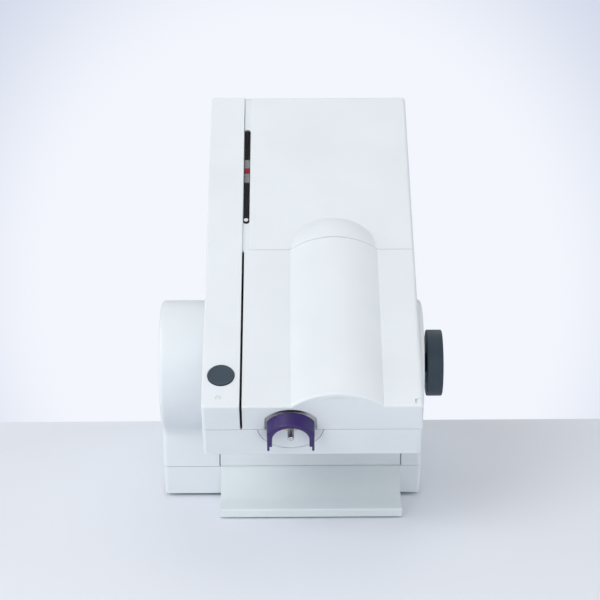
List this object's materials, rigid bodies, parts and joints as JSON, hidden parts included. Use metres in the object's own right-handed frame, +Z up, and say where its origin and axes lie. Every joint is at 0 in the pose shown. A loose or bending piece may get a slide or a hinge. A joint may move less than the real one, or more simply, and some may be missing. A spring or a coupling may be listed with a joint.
{
  "type": "dental impression material mixer",
  "caption": "Bench-top mixer with a sloping head, a hinged cartridge cover, twin rack-driven plungers, a mixing shaft with a locking lever and a side handwheel.",
  "frame": {"origin": "centre of the footprint's overall box, on the table under the feet", "axes": "+X to the user's right, +Y to the back, +Z up"},
  "size_m": [0.232, 0.3354, 0.3094],
  "materials": {
    "white_shell": "fine satin moulding",
    "foot_shell": "fine satin moulding",
    "slate_plastic": "satin",
    "purple_plastic": "semi-gloss",
    "window_clear": "clear, lightly smoked",
    "black_plastic": "satin",
    "pointer_grey": "satin",
    "red_mark": "satin",
    "light_lens": "frosted lens",
    "bay_plastic": "satin",
    "plunger_plastic": "satin",
    "gear_plastic": "natural acetal",
    "shaft_steel": "ground",
    "plate_steel": "zinc plated",
    "bush_brass": "turned",
    "motor_case": "satin",
    "core_steel": "varnished laminations",
    "winding_tape": "taped winding",
    "board_green": "solder mask",
    "foot_rubber": "matt"
  },
  "bodies": {
    "housing": {"base_pan": "white_shell", "front_foot_plate": "foot_shell", "rubber_feet": "foot_rubber", "left_cheek": "white_shell", "right_cheek": "white_shell", "centre_column": "white_shell", "rear_panel": "white_shell", "head_tray": "white_shell", "control_strip": "white_shell", "rear_cover": "white_shell", "level_window": "window_clear", "level_channel": "black_plastic", "status_light": "light_lens", "cover_hinge_pin": "shaft_steel", "control_board": "board_green", "button_switch": "black_plastic", "tip_seat_plate": "white_shell", "shaft_bush": "bush_brass", "lever_pin": "shaft_steel", "cartridge_cradle": "bay_plastic", "bay_bulkhead": "bay_plastic", "gear_plate": "plate_steel", "bearing_plate": "plate_steel", "pinion_bushes": "bush_brass", "idler_pins": "shaft_steel", "wheel_bushes": "bush_brass", "feed_motor": "motor_case", "mixer_gearbox": "plate_steel", "mixer_motor": "motor_case", "motor_bracket": "plate_steel", "transformer_core": "core_steel", "transformer_winding": "winding_tape", "mains_inlet": "black_plastic", "inlet_blades": "bush_brass", "switch_frame": "black_plastic", "tray_screws": "shaft_steel", "base_screws": "shaft_steel", "panel_screws": "shaft_steel"},
    "cover": {"cartridge_cover": "white_shell"},
    "lever": {"locking_lever": "purple_plastic"},
    "button": {"start_button": "slate_plastic"},
    "mixing_shaft": {"drive_shaft": "shaft_steel", "shaft_coupling": "shaft_steel"},
    "plungers": {"large_plunger": "plunger_plastic", "small_plunger": "plunger_plastic", "large_rack": "gear_plastic", "small_rack": "gear_plastic", "rack_yoke": "gear_plastic", "level_pointer": "pointer_grey", "pointer_mark": "red_mark"},
    "pinion": {"pinion_shaft": "shaft_steel", "rack_pinions": "gear_plastic", "upper_gear": "gear_plastic"},
    "upper_idler": {"upper_idler": "gear_plastic"},
    "lower_idler": {"lower_idler": "gear_plastic"},
    "wheel": {"handwheel": "slate_plastic", "wheel_shaft": "shaft_steel", "lower_gear": "gear_plastic"},
    "feed_pinion": {"motor_pinion": "gear_plastic"},
    "rocker": {"power_rocker": "black_plastic"}
  },
  "joints": [
    {"name": "cover_hinge", "type": "hinge", "parent": "housing", "child": "cover", "pos_m": [0.087, -0.0897, 0.1759], "axis": [0, 0.866, 0.5], "range_deg": [0, 105]},
    {"name": "lever_pivot", "type": "hinge", "parent": "housing", "child": "lever", "pos_m": [-0.0093, -0.1586, 0.12844], "axis": [-1, 0, 0], "range_deg": [0, 75]},
    {"name": "button_press", "type": "slide", "parent": "housing", "child": "button", "axis": [0, 0.5, -0.866], "range_m": [0, 0.0015], "stiffness_N_per_m": 700, "springref_m": -0.002},
    {"name": "mixing_spin", "type": "hinge", "parent": "housing", "child": "mixing_shaft", "pos_m": [-0.0093, -0.14809, 0.11702], "axis": [0, -0.866, -0.5], "continuous": true},
    {"name": "plunger_slide", "type": "slide", "parent": "housing", "child": "plungers", "axis": [0, 0.866, 0.5], "range_m": [-0.0619, 0.0424]},
    {"name": "pinion_spin", "type": "hinge", "parent": "housing", "child": "pinion", "pos_m": [-0.076, 0.01515, 0.2003], "axis": [1, 0, 0], "range_deg": [-202.9, 296.1]},
    {"name": "upper_idler_spin", "type": "hinge", "parent": "housing", "child": "upper_idler", "pos_m": [0.06, 0.01515, 0.1703], "axis": [1, 0, 0], "range_deg": [-296.1, 202.9]},
    {"name": "lower_idler_spin", "type": "hinge", "parent": "housing", "child": "lower_idler", "pos_m": [0.06, 0.01515, 0.1403], "axis": [1, 0, 0], "range_deg": [-202.9, 296.1]},
    {"name": "wheel_spin", "type": "hinge", "parent": "housing", "child": "wheel", "pos_m": [0.099, 0.01515, 0.1103], "axis": [1, 0, 0], "range_deg": [-296.1, 202.9]},
    {"name": "feed_motor_spin", "type": "hinge", "parent": "housing", "child": "feed_pinion", "pos_m": [0.06, 0.04365, 0.1103], "axis": [1, 0, 0], "range_deg": [-225.4, 328.9]},
    {"name": "rocker_rock", "type": "hinge", "parent": "housing", "child": "rocker", "pos_m": [0.01, 0.16211, 0.07], "axis": [1, 0, 0], "range_deg": [0, 14]}
  ],
  "couplings": [
    {"joint": "pinion_spin", "follows": "plunger_slide", "rad_per_m": -83.333},
    {"joint": "upper_idler_spin", "follows": "plunger_slide", "rad_per_m": 83.333},
    {"joint": "lower_idler_spin", "follows": "plunger_slide", "rad_per_m": -83.333},
    {"joint": "wheel_spin", "follows": "plunger_slide", "rad_per_m": 83.333},
    {"joint": "feed_motor_spin", "follows": "plunger_slide", "rad_per_m": -92.593}
  ]
}
